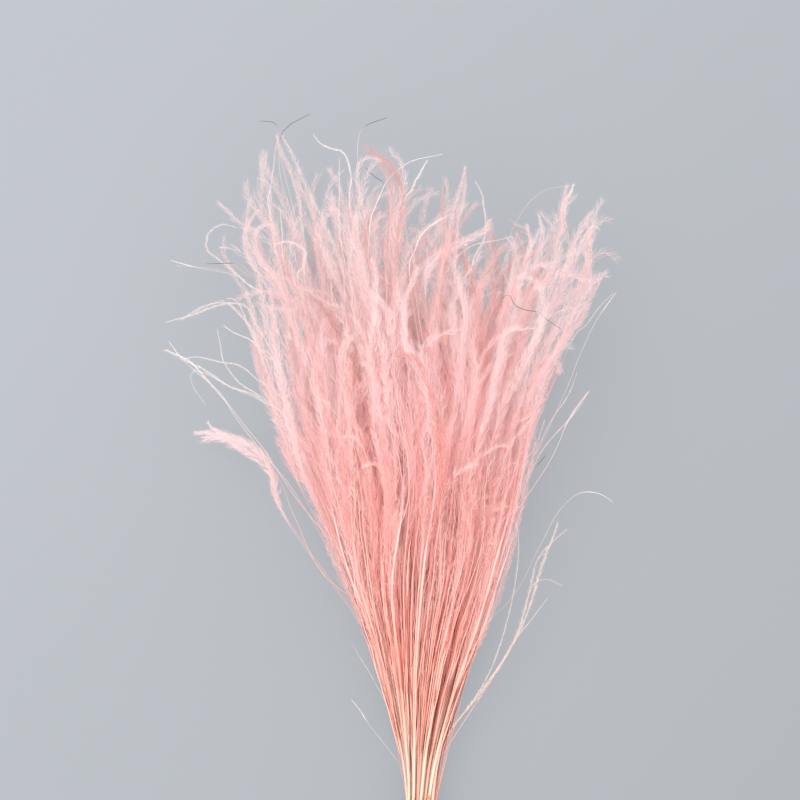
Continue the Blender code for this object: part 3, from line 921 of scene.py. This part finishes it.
# Single strands that stand out from the head. Each row has the kind, the tone, how far its hairs
# stand out to a side, or how long its tip is if it has none, in millimetres, its height as a share
# of the bundle's there, and its way as (sideways, along) in millimetres, as seen from above.
wisps = {
    "points": 44,
    "rootBefore": 0.070,
    "firstRoot": 0.100,
    "liftFallsOver": (0.1, 0.3),
    "nearness": (1, 0.2, 1),  # a gap along the bundle counts less than one to a side or upwards
    "rootRadius": 0.00015,
    "tipRadius": 0.00006,
    "hairs": (150, 140),  # so many, and more for each millimetre that they stand out
    "hairLook": {**hairLook, "crowding": 1.0, "fade": 0.86, "tipShare": 0.45},
    "hairScale": 1.9,
    "rows": (
        ("awn", 0.78, 4.5, 0.32, (-78, 266), (-87, 294), (-102, 307), (-120, 317), (-131, 318)),
        ("awn", 0.84, 3.5, 0.34, (-79, 269), (-87, 292), (-92, 305), (-106, 314), (-121, 320), (-124, 324)),
        ("awn", 0.95, 0.6, 0.45, (-71, 279), (-93, 307), (-109, 328), (-117, 341), (-132, 354),
         (-140, 361), (-150, 366)),
        ("awn", 0.95, 0.8, 0.50, (-77, 322), (-94, 339), (-106, 347), (-115, 359), (-117, 369),
         (-119, 378)),
        ("awn", 0.95, 0.8, 0.50, (-77, 331), (-97, 350), (-106, 357), (-117, 359), (-130, 362),
         (-138, 361)),
        ("awn", 0.96, 1.2, 0.46, (-74, 320), (-93, 337), (-103, 342), (-112, 345), (-127, 355),
         (-139, 361), (-147, 371)),
        ("awn", 0.95, 0.4, 0.44, (-74, 320), (-93, 336), (-110, 344), (-127, 353), (-134, 353),
         (-133, 345), (-126, 335)),
        ("awn", 0.95, 0.8, 0.52, (-85, 357), (-93, 366), (-100, 372), (-109, 376), (-115, 380)),
        ("awn", 0.90, 1.2, 0.56, (-88, 366), (-95, 378), (-101, 390), (-108, 393), (-118, 392),
         (-135, 386), (-149, 382)),
        ("awn", 0.84, 1.2, 0.52, (-79, 349), (-93, 365), (-100, 378), (-104, 388), (-108, 395),
         (-113, 396)),
        ("whiteTip", 0.96, 14.0, 0.55, (-79, 372), (-93, 395), (-106, 408), (-120, 412), (-131, 414),
         (-146, 418)),
        ("awn", 0.90, 1.2, 0.60, (-88, 389), (-102, 405), (-116, 417), (-124, 423), (-125, 430),
         (-122, 436), (-115, 439), (-108, 437)),
        ("awn", 0.52, 4.2, 0.52, (-70, 285), (-78, 311), (-85, 334), (-89, 354), (-94, 373), (-98, 388),
         (-102, 400)),
        ("awn", 0.60, 4.4, 0.62, (-66, 288), (-74, 311), (-79, 334), (-84, 356), (-89, 376), (-92, 393),
         (-95, 409)),
        ("awn", 0.46, 4.4, 0.70, (-63, 279), (-71, 302), (-77, 324), (-81, 345), (-84, 365), (-86, 383),
         (-88, 401)),
        ("awn", 0.80, 1.4, 0.86, (-71, 401), (-69, 414), (-68, 423), (-72, 427), (-79, 429), (-86, 427)),
        ("awn", 0.60, 3.0, 0.66, (-87, 395), (-99, 417), (-103, 429), (-101, 438), (-97, 445), (-95, 447)),
        ("awn", 0.70, 3.2, 0.70, (-79, 395), (-93, 417), (-97, 430), (-94, 437), (-88, 439), (-85, 434)),
        ("bristle", 0.40, 15.0, 0.62, (-93, 400), (-100, 411), (-108, 416), (-125, 416)),
        ("awn", 0.80, 1.2, 0.72, (-79, 401), (-85, 424), (-88, 443), (-88, 459), (-86, 473), (-85, 483),
         (-83, 492)),
        ("awn", 0.50, 3.0, 0.74, (-52, 395), (-55, 417), (-59, 432), (-64, 448), (-70, 459), (-77, 472),
         (-82, 482), (-84, 490)),
        ("awn", 0.72, 2.4, 0.78, (-45, 401), (-50, 424), (-56, 438), (-63, 452), (-69, 465), (-75, 479),
         (-81, 490)),
        ("awn", 0.45, 1.8, 0.80, (-67, 401), (-68, 424), (-70, 438), (-71, 451), (-74, 461), (-77, 470)),
        ("awn", 0.97, 0.5, 0.66, (-80, 417), (-81, 430), (-82, 444), (-83, 450)),
        ("awn", 0.97, 0.4, 0.62, (-88, 444), (-88, 459), (-90, 464), (-96, 466)),
        ("bristle", 0.60, 10.0, 0.68, (-83, 482), (-84, 494), (-86, 498), (-94, 499)),
        ("awn", 0.96, 1.0, 0.86, (-41, 444), (-41, 465), (-45, 480), (-53, 483), (-59, 486), (-63, 491)),
        ("awn", 0.95, 0.7, 0.84, (-45, 418), (-48, 438), (-48, 454), (-48, 468), (-48, 477)),
        ("awn", 0.80, 2.5, 0.82, (-38, 433), (-36, 453), (-38, 466), (-35, 476), (-26, 477), (-19, 473)),
        ("awn", 0.12, 4.5, 0.93, (-16, 401), (-15, 421), (-14, 433), (-12, 444), (-12, 456), (-14, 466),
         (-20, 474), (-27, 480), (-32, 483)),
        ("awn", 0.30, 3.5, 0.90, (-21, 407), (-20, 430), (-18, 444), (-18, 456), (-20, 466), (-24, 473)),
        ("bristle", 0.60, 13.0, 0.95, (-18, 447), (-20, 459), (-22, 463), (-28, 467), (-33, 472)),
        ("bristle", 0.60, 14.0, 0.82, (-35, 453), (-37, 470), (-37, 488), (-33, 496), (-20, 501)),
        ("awn", 0.96, 1.2, 0.90, (-10, 444), (-6, 459), (-1, 469), (3, 476)),
        ("awn", 0.45, 2.6, 0.88, (10, 401), (14, 424), (17, 440), (20, 453), (23, 463), (25, 472)),
        ("awn", 0.62, 2.2, 0.86, (19, 401), (20, 424), (21, 440), (24, 453), (25, 463), (25, 472)),
        ("awn", 0.20, 2.2, 0.86, (10, 412), (13, 433), (12, 446), (12, 461)),
        ("awn", 0.96, 0.9, 0.92, (-7, 407), (-4, 424), (-1, 432), (5, 438), (13, 443), (17, 445)),
        ("awn", 0.93, 1.0, 0.84, (28, 410), (36, 430), (37, 441), (36, 448), (35, 456), (31, 464)),
        ("awn", 0.62, 4.0, 0.86, (2, 401), (5, 414), (9, 421), (18, 426), (29, 431), (36, 435), (39, 441)),
        ("awn", 0.90, 0.8, 0.84, (10, 395), (16, 414), (28, 426), (45, 430), (52, 432)),
        ("whiteTip", 0.85, 0.0, 0.76, (35, 378), (42, 400), (45, 410), (49, 421), (51, 432), (54, 439),
         (60, 449), (67, 456), (75, 460), (87, 461)),
        ("awn", 0.50, 4.2, 0.72, (51, 378), (61, 399), (72, 405), (75, 414), (79, 427), (81, 438),
         (82, 451), (84, 461)),
        ("awn", 0.58, 3.4, 0.76, (45, 380), (54, 403), (60, 412), (62, 421), (63, 430), (61, 438)),
        ("awn", 0.66, 3.0, 0.74, (57, 389), (65, 414), (68, 423), (70, 434), (68, 444)),
        ("awn", 0.60, 4.0, 0.64, (68, 378), (78, 395), (86, 417), (89, 430), (93, 438), (98, 446)),
        ("awn", 0.85, 1.5, 0.62, (89, 417), (92, 428), (99, 438), (103, 436)),
        ("awn", 0.62, 3.2, 0.56, (80, 366), (90, 380), (95, 389), (97, 401), (97, 411), (96, 419),
         (93, 424)),
        ("awn", 0.90, 2.0, 0.70, (81, 438), (82, 450), (86, 457), (88, 462)),
        ("bristle", 0.65, 42.0, 0.84, (36, 369), (41, 389), (48, 397), (51, 398), (54, 392), (61, 389),
         (68, 388), (72, 384), (81, 378)),
        ("awn", 0.96, 0.4, 0.50, (86, 369), (95, 380), (103, 391), (111, 399)),
        ("awn", 0.93, 0.8, 0.45, (57, 279), (66, 301), (72, 311), (80, 320), (89, 330), (97, 342)),
        ("awn", 0.93, 0.6, 0.50, (60, 291), (67, 308), (75, 325), (85, 340), (90, 353)),
        ("bristle", 0.60, 8.0, 0.48, (54, 273), (61, 291), (66, 298), (72, 305)),
        ("awn", 0.90, 1.6, 0.52, (14, 140), (35, 168), (46, 184), (55, 201), (60, 217), (64, 233),
         (66, 242), (72, 251), (84, 262)),
        ("awn", 0.94, 0.6, 0.50, (14, 139), (34, 167), (45, 183), (55, 200), (60, 216), (64, 229),
         (72, 233), (82, 229)),
        ("awn", 0.94, 0.8, 0.48, (14, 139), (34, 168), (45, 183), (55, 199), (63, 209), (73, 222)),
        ("awn", 0.95, 1.0, 0.54, (14, 140), (30, 163), (41, 183), (50, 211), (55, 237), (56, 259),
         (53, 269)),
        ("awn", 0.55, 3.0, 0.50, (23, 169), (34, 198), (44, 223), (51, 244), (56, 267), (61, 291),
         (66, 314)),
        ("awn", 0.64, 2.8, 0.58, (21, 169), (30, 195), (39, 220), (47, 243), (53, 267), (57, 291),
         (61, 311), (64, 325)),
        ("awn", 0.74, 2.6, 0.46, (26, 175), (36, 202), (45, 227), (52, 251), (58, 276), (64, 302),
         (71, 325)),
        ("awn", 0.97, 0.3, 0.45, (-17, 148), (-21, 161), (-29, 176), (-35, 186), (-41, 196)),
        ("whiteTip", 0.97, 16.0, 0.45, (-13, 124), (-20, 135), (-31, 149), (-36, 157), (-41, 163)),
    ),
}


def strandStart(stem, along):
    if along < stem["top"]:
        return strawPoint(stem, along)
    return place(stem["across"], stem["up"], along)


# Gives each wisp to the stem that passes nearest to its start, and lets it grow out of that stem.
def assignWisps(stems):
    for stem in stems:
        stem["wisps"] = []
    for kind, tone, reach, share, *way in wisps["rows"]:
        way = np.array(way, float) / 1000
        lift = np.interp(way[:, 1], wisps["liftFallsOver"], (tieLift, bundle["headLift"]))
        height = lift + 2 * headSize(way[:, 1])[1] * share
        passes = np.column_stack([asSeen(way, height), height])
        along = max(passes[0, 1] - wisps["rootBefore"], wisps["firstRoot"])

        def gapTo(stem):
            return np.linalg.norm((strandStart(stem, along) - passes[0]) * wisps["nearness"])

        nearest = min(stems, key=gapTo)
        route = np.vstack([strandStart(nearest, along), passes])
        nearest["wisps"].append((kind, tone, reach, route))


# A wisp gets its own tone and its hairs on its way from its first place outside the head to its
# second.
def addWisps(piece, stem, dice):
    for kind, tone, reach, route in stem["wisps"]:
        path = curveThrough(route, wisps["points"])
        radii = awnRadii(wisps, len(path))
        run = lengthAlong(path)
        first, second = (
            run[np.linalg.norm(path - spot, axis=1).argmin()] / run[-1] for spot in route[1:3]
        )
        tones = shadedTones(tone, len(path), 0.5 * first, 0.6 * first + 0.4 * second)
        look = {**wisps["hairLook"], "start": 0.9 * first, "full": second}
        count = int(wisps["hairs"][0] + wisps["hairs"][1] * reach)
        reach = reach / 1000 * (wisps["hairScale"] if kind == "awn" else 1)
        addStrand(piece, path, radii, tones, kind, reach, count, dice, look)


assignWisps(stems)
print("wisps placed,", len(wisps["rows"]))


def newFinish(name, roughness, shine):
    finish = bpy.data.materials.new(name)
    finish.use_nodes = True
    tree = finish.node_tree
    shader = tree.nodes["Principled BSDF"]
    feed(tree, shader, {"Roughness": roughness, "Specular IOR Level": shine})
    return finish, tree, shader


# Fills in a node's inputs. Another node's output is linked, and anything else is a fixed value.
def feed(tree, node, inputs):
    for name, value in inputs.items():
        if isinstance(value, bpy.types.NodeSocket):
            tree.links.new(value, node.inputs[name])
        else:
            node.inputs[name].default_value = value


def addNode(tree, kind, inputs, **settings):
    node = tree.nodes.new(kind)
    for name, value in settings.items():
        setattr(node, name, value)
    feed(tree, node, inputs)
    return node


# Screen colours, 0 to 255, as light.
def linear(colour):
    values = np.array(colour, float) / 255
    return (*np.where(values <= 0.04045, values / 12.92, ((values + 0.055) / 1.055) ** 2.4), 1)


def colourRamp(tree, source, stops):
    node = addNode(tree, "ShaderNodeValToRGB", {"Fac": source})
    elements = node.color_ramp.elements
    elements.remove(elements[-1])
    elements[0].position = stops[0][0]
    elements[0].color = linear(stops[0][1])
    for position, colour in stops[1:]:
        elements.new(position).color = linear(colour)
    return node.outputs["Color"]


# Blends two colours, which are this node's seventh and eighth input and its third output.
def mixed(tree, way, share, first, second):
    inputs = {0: share, 6: first, 7: second}
    return addNode(tree, "ShaderNodeMix", inputs, data_type="RGBA", blend_type=way).outputs[2]


def computed(tree, operation, *values):
    return addNode(tree, "ShaderNodeMath", dict(enumerate(values)), operation=operation).outputs["Value"]


def strandPlace(tree):
    return addNode(tree, "ShaderNodeUVMap", {}, uv_map="OFBake").outputs["UV"]


# Streaks on a strand's map. The grain is how many there are along and across it.
def addStreaks(tree, strand, grain, look):
    inputs = {"Vector": strand, "Rotation": (0, 0, look["slant"]), "Scale": (*grain, 1)}
    stretched = addNode(tree, "ShaderNodeMapping", inputs).outputs["Vector"]
    inputs = {"Vector": stretched, "Scale": 1, "Detail": look["detail"], "Roughness": look["patchy"]}
    return addNode(tree, "ShaderNodeTexNoise", inputs, noise_dimensions="2D").outputs["Fac"]


def addBump(tree, shader, height, strength, depth):
    bump = addNode(tree, "ShaderNodeBump", {"Height": height, "Strength": strength, "Distance": depth})
    feed(tree, shader, {"Normal": bump.outputs["Normal"]})


# What the finishes of the grass share. Streaks darken a strand and shift its colours along it. Its
# own tone tints it, and the palest strands are blended towards cream and white.
grassLook = {
    "shine": 0.25,
    "slant": 0.0,
    "detail": 3.0,
    "patchy": 0.6,
    "shifted": 0.10,
    "streaks": ((0.30, (240, 228, 226)), (0.60, (255, 255, 255))),
    "streakShare": 0.8,
    "ribStrength": 0.5,
    "tones": (
        (0.00, (168, 112, 98)), (0.04, (206, 142, 132)), (0.08, (232, 178, 170)), (0.12, (242, 206, 200)),
        (0.30, (249, 226, 222)), (0.36, (255, 245, 243)), (0.70, (255, 255, 255)),
    ),
    "paleShare": (
        (0.68, (0, 0, 0)), (0.72, (80, 80, 80)), (0.87, (110, 110, 110)), (0.89, (180, 180, 180)),
        (0.94, (195, 195, 195)), (0.96, (235, 235, 235)),
    ),
    "pale": (
        (0.70, (250, 224, 221)), (0.87, (250, 226, 219)), (0.89, (250, 232, 212)), (0.95, (249, 238, 224)),
        (0.97, (249, 245, 242)),
    ),
}

# Each finish, in the order of their numbers: how much light passes through it, its roughness, its
# grain, the depth of its ribs, and its colours along the strand.
grassFinishes = {
    "dyedStraw": {"through": 0.0, "roughness": 0.55, "grain": (26, 420), "ribDepth": 0.00015, "along": (
        (0.00, (218, 192, 160)), (0.16, (214, 188, 166)), (0.20, (218, 183, 165)), (0.25, (231, 179, 161)),
        (0.33, (248, 182, 168)), (0.42, (249, 190, 181)), (0.55, (248, 199, 194)),
    )},
    "dyedAwn": {"through": 0.35, "roughness": 0.6, "grain": (40, 300), "ribDepth": 0.0, "along": (
        (0.22, (249, 196, 178)), (0.33, (251, 198, 188)), (0.45, (248, 199, 195)), (0.56, (242, 208, 207)),
        (0.68, (232, 208, 208)), (0.80, (223, 200, 199)), (0.92, (220, 198, 198)),
    )},
    "softHair": {"through": 0.50, "roughness": 0.7, "grain": (60, 200), "ribDepth": 0.0, "along": (
        (0.25, (253, 217, 203)), (0.40, (251, 216, 210)), (0.48, (245, 210, 206)), (0.57, (244, 221, 220)),
        (0.68, (234, 216, 216)), (0.80, (224, 205, 204)), (0.92, (220, 202, 202)),
    )},
    "brownBristle": {"through": 0.0, "roughness": 0.6, "grain": (40, 300), "ribDepth": 0.0, "along": (
        (0.00, (248, 200, 194)), (0.71, (240, 200, 196)), (0.77, (120, 84, 80)), (0.90, (62, 48, 48)),
    )},
}


# A finish reads a strand's map: how far along it is, and its own tone.
def grassFinish(name, look):
    finish, tree, shader = newFinish(name, look["roughness"], grassLook["shine"])
    strand = strandPlace(tree)
    split = addNode(tree, "ShaderNodeSeparateXYZ", {"Vector": strand}).outputs
    streaks = addStreaks(tree, strand, look["grain"], grassLook)
    shift = computed(tree, "MULTIPLY_ADD", streaks, grassLook["shifted"], -grassLook["shifted"] / 2)
    base = colourRamp(tree, computed(tree, "ADD", split["X"], shift), look["along"])
    tint, pale, share = (
        colourRamp(tree, split["Y"], grassLook[stops]) for stops in ("tones", "pale", "paleShare")
    )
    coloured = mixed(tree, "MIX", share, mixed(tree, "MULTIPLY", 1.0, base, tint), pale)
    streaked = colourRamp(tree, streaks, grassLook["streaks"])
    coloured = mixed(tree, "MULTIPLY", grassLook["streakShare"], coloured, streaked)
    feed(tree, shader, {"Base Color": coloured})
    if look["ribDepth"]:
        addBump(tree, shader, streaks, grassLook["ribStrength"], look["ribDepth"])
    if look["through"]:
        passing = addNode(tree, "ShaderNodeBsdfTranslucent", {"Color": coloured}).outputs["BSDF"]
        inputs = {"Fac": look["through"], 1: shader.outputs["BSDF"], 2: passing}
        blend = addNode(tree, "ShaderNodeMixShader", inputs)
        feed(tree, tree.nodes["Material Output"], {"Surface": blend.outputs["Shader"]})
    return finish


stemFinishes = [grassFinish(name, look) for name, look in grassFinishes.items()]
print("grass finishes made")


# The main awns come first, because the thin ones of any stem may join them.
def startStemPiece(stem, leaders):
    piece = newPiece()
    dice = np.random.default_rng(bundle["mainSeed"] + stem["number"])
    addStraw(piece, stem, dice.uniform(*strawLook["tones"]), dice)
    addMainAwns(piece, stem, dice, leaders)
    return piece


def finishStemPiece(stem, piece, leaders):
    dice = np.random.default_rng(bundle["fineSeed"] + stem["number"])
    addFineAwns(piece, stem, dice, leaders)
    addLeaves(piece, stem, dice)
    addWisps(piece, stem, dice)
    name = f"featherStem{stem['number'] + 1:02d}"
    made = pieceObject(name, piece, stemFinishes)
    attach(made, "root")
    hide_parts(f"stem_{stem['number'] + 1:02d}")
    return len(made.data.polygons)


leaders = []
pieces = [startStemPiece(stem, leaders) for stem in stems]
faceCounts = [finishStemPiece(stem, piece, leaders) for stem, piece in zip(stems, pieces)]
print("stems dressed,", sum(faceCounts), "faces, most in one", max(faceCounts))


# The tie: one long twine of three plies, four times round the straws, with a knot on top. Its two
# ends and the knot's bridge pass through places that are given in degrees from the top, how far
# along from the tie's middle, and how high over the turns.
twineLook = {
    "seed": 7,
    "strandWidth": 0.00172,
    "pitch": 0.00172,
    "finishNumbers": {"ply": 0, "fuzz": 1},
    "plyTones": (0.18, 0.50, 0.82),
    "plyPlace": 0.25,
    "plyRadius": 0.285,
    "plyLength": 0.0058,
    "plySides": 7,
    "stepsPerTurn": 110,
    "unravels": 1.5,
    "unravelsOver": 0.0035,
    "thinnedTo": 0.35,
    "thinnedOver": 0.003,
    "mapEnds": (0.02, 0.96),
    "fuzz": 1500,
    "fuzzLook": {"start": 0.0, "full": 0.02, "fade": 0.99, "tipShare": 0.9, "crowding": 1.0,
                 "lean": (65, 65), "fan": 80, "bendBack": 0.6, "stray": 0.2, "width": 0.00005},
    "fuzzReach": 0.0013,
    "fuzzTone": 0.5,
    "endFuzz": 120,
    "endPoints": 60,
    "ends": (
        ((25, 0.0150, -0.0006), (15, 0.0080, -0.0005), (5, 0.0014, 0.0006), (-5, -0.0014, 0.0007),
         (-13, -0.0046, 0.0002)),
        ((-24, 0.0120, -0.0006), (-15, 0.0066, -0.0004), (-4, 0.0012, 0.0010), (6, -0.0016, 0.0006),
         (13, -0.0044, 0.0001)),
        ((-15, -0.0010, 0.0000), (-8, 0.0000, 0.0016), (0, 0.0004, 0.0024), (8, 0.0002, 0.0016),
         (15, 0.0006, 0.0000)),
    ),
    "frayedEnds": (True, True, False),
}
tieMiddle = tieOuter - twine["pressed"]


def addTwine(piece, route, up, frayed, dice, fuzz):
    look = twineLook
    side, face = strandAxes(route, up)[1:]
    run = lengthAlong(route)
    mapAlong = np.interp(run / run[-1], (0, 1), look["mapEnds"])
    offset = np.full(len(route), look["strandWidth"] * look["plyPlace"])
    radii = np.full(len(route), look["strandWidth"] * look["plyRadius"])
    if frayed:
        offset *= 1 + look["unravels"] * (1 - smoothStep(run, 0.0, look["unravelsOver"]))
        thinned = look["thinnedTo"]
        radii *= thinned + (1 - thinned) * smoothStep(run, 0.0, look["thinnedOver"])
    plies = len(look["plyTones"])
    for ply, tone in enumerate(look["plyTones"]):
        phase = 2 * math.pi * (run / look["plyLength"] + ply / plies)
        across = (offset * np.cos(phase))[:, None] * side
        outward = (offset * np.sin(phase))[:, None] * face
        path, finish = route + across + outward, look["finishNumbers"]["ply"]
        addTube(piece, path, radii, look["plySides"], tone, finish, up=up, mapAlong=mapAlong)
    reach, tone, finish = look["fuzzReach"], look["fuzzTone"], look["finishNumbers"]["fuzz"]
    addHairs(piece, route, fuzz, reach, tone, finish, dice, look["fuzzLook"], mapAlong, up)


def makeTiePiece(finishes):
    dice = np.random.default_rng(twineLook["seed"])
    piece = newPiece()
    turns = twine["turns"]
    turn = 2 * math.pi * np.linspace(0, turns, twineLook["stepsPerTurn"] * turns)
    along = bundle["tieAlong"] + (turn / (2 * math.pi) - turns / 2) * twineLook["pitch"]
    radius = tieInner + twineLook["strandWidth"] / 2
    route = np.stack([radius * np.sin(turn), along, tieMiddle + radius * np.cos(turn)], axis=1)
    addTwine(piece, route, (0, 1, 0), False, dice, twineLook["fuzz"])
    for points, frayed in zip(twineLook["ends"], twineLook["frayedEnds"]):
        corners = []
        for degrees, ahead, height in points:
            angle = math.radians(degrees)
            away = tieOuter + height
            corners.append((away * math.sin(angle), bundle["tieAlong"] + ahead,
                            tieMiddle + away * math.cos(angle)))
        route = curveThrough(corners, twineLook["endPoints"])
        addTwine(piece, route, (0, 0, 1), frayed, dice, twineLook["endFuzz"])
    made = pieceObject("twineTie", piece, finishes)
    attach(made, "root")
    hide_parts("tie")
    return len(made.data.polygons)


jute = {
    "grain": (90, 34),
    "slant": 0.5,
    "detail": 5.0,
    "patchy": 0.7,
    "roughness": 0.85,
    "shine": 0.2,
    "fibreStrength": 0.6,
    "fibreDepth": 0.0002,
    "palest": (222, 196, 156),
    "finishes": {
        "juteTwine": ((128, 96, 62), (184, 148, 106)),
        "juteFuzz": ((170, 136, 96), (206, 174, 130)),
    },
}


def twineFinish(name, dark, light):
    finish, tree, shader = newFinish(name, jute["roughness"], jute["shine"])
    fibres = addStreaks(tree, strandPlace(tree), jute["grain"], jute)
    stops = ((0.30, dark), (0.52, light), (0.75, jute["palest"]))
    feed(tree, shader, {"Base Color": colourRamp(tree, fibres, stops)})
    addBump(tree, shader, fibres, jute["fibreStrength"], jute["fibreDepth"])
    return finish


tieFaces = makeTiePiece([twineFinish(name, *tones) for name, tones in jute["finishes"].items()])
print("tie wound,", tieFaces, "faces")


# The floor, the light and the camera, which looks straight down on the lying bundle. The floor is
# a board with a soft glow of its own, so that shadows stay faint. Its colour is mottled, and has
# painted light: it is lighter towards the key light's side.
stage = {
    "floorSize": 18.0,
    # Painted light: the board's colours run from darker to lighter towards the key light's side, with real
    # mottling between them.
    "floorPaleMottleAndPaintedLight": (83, 85, 88),
    "floorDarkMottleAndPaintedShade": (66, 68, 71),
    "paintedLightSide": (-0.8, 0.6, 0.0),
    "paintedLightOver": (-0.25, 0.35),
    "mottling": 0.12,
    "mottleScale": 3.0,
    "mottleDetail": 4.0,
    "floorRoughness": 0.9,
    "floorShine": 0.1,
    "floorGlow": 0.355,
    "glowColour": (244, 249, 255),
    "skyColour": (240, 242, 245),
    "skyStrength": 2.08,
    "lights": {
        "keyLight": {"place": (-0.9, 0.9, 2.4), "size": 3.6, "power": 77.0},
        "fillLight": {"place": (1.3, -0.8, 1.6), "size": 2.6, "power": 3.0},
    },
    "litPlace": (0, 0.1, 0.05),
    "lens": 100.0,
}


def makeFloor():
    half = stage["floorSize"] / 2
    mesh = bpy.data.meshes.new("paleFloor")
    corners = [(-half, -half, 0), (half, -half, 0), (half, half, 0), (-half, half, 0)]
    mesh.from_pydata(corners, [], [(0, 1, 2, 3)])
    floor = addObject("paleFloor", mesh)
    finish, tree, shader = newFinish("paleBoard", stage["floorRoughness"], stage["floorShine"])
    spot = addNode(tree, "ShaderNodeTexCoord", {}).outputs["Object"]
    inputs = {"Vector": spot, "Scale": stage["mottleScale"], "Detail": stage["mottleDetail"]}
    mottle = addNode(tree, "ShaderNodeTexNoise", inputs).outputs["Fac"]
    # Painted light: the colour grows lighter towards the key light's side, on top of the real mottling.
    inputs = {0: spot, 1: stage["paintedLightSide"]}
    paintedLightSlope = addNode(tree, "ShaderNodeVectorMath", inputs, operation="DOT_PRODUCT").outputs["Value"]
    uneven = computed(tree, "MULTIPLY_ADD", mottle, stage["mottling"], paintedLightSlope)
    inputs = dict(zip(("Value", "From Min", "From Max"), (uneven, *stage["paintedLightOver"])))
    share = addNode(tree, "ShaderNodeMapRange", inputs).outputs["Result"]
    stops = ((0.0, stage["floorDarkMottleAndPaintedShade"]), (1.0, stage["floorPaleMottleAndPaintedLight"]))
    feed(tree, shader, {"Base Color": colourRamp(tree, share, stops),
                        "Emission Color": linear(stage["glowColour"]),
                        "Emission Strength": stage["floorGlow"]})
    mesh.materials.append(finish)


def makeLight(name, look):
    data = bpy.data.lights.new(name, "AREA")
    data.shape = "DISK"
    data.size = look["size"]
    data.energy = look["power"]
    light = addObject(name, data)
    light.location = look["place"]
    shining = Vector(stage["litPlace"]) - light.location
    light.rotation_euler = shining.to_track_quat("-Z", "Y").to_euler()


def makeSky():
    world = bpy.data.worlds.new("softStudio")
    world.use_nodes = True
    background = world.node_tree.nodes["Background"]
    background.inputs["Color"].default_value = linear(stage["skyColour"])
    background.inputs["Strength"].default_value = stage["skyStrength"]
    bpy.context.scene.world = world


def makeCamera():
    data = bpy.data.cameras.new("photoCamera")
    data.lens = stage["lens"]
    data.sensor_width = 36.0
    data.clip_start = 0.05
    data.clip_end = 50.0
    camera = addObject("photoCamera", data)
    camera.location = np.array(bundle["eye"]) + bundleShift
    bpy.context.scene.camera = camera


makeFloor()
makeSky()
for name, look in stage["lights"].items():
    makeLight(name, look)
makeCamera()
bpy.context.scene.view_settings.view_transform = "Standard"
print("floor, light and camera set")
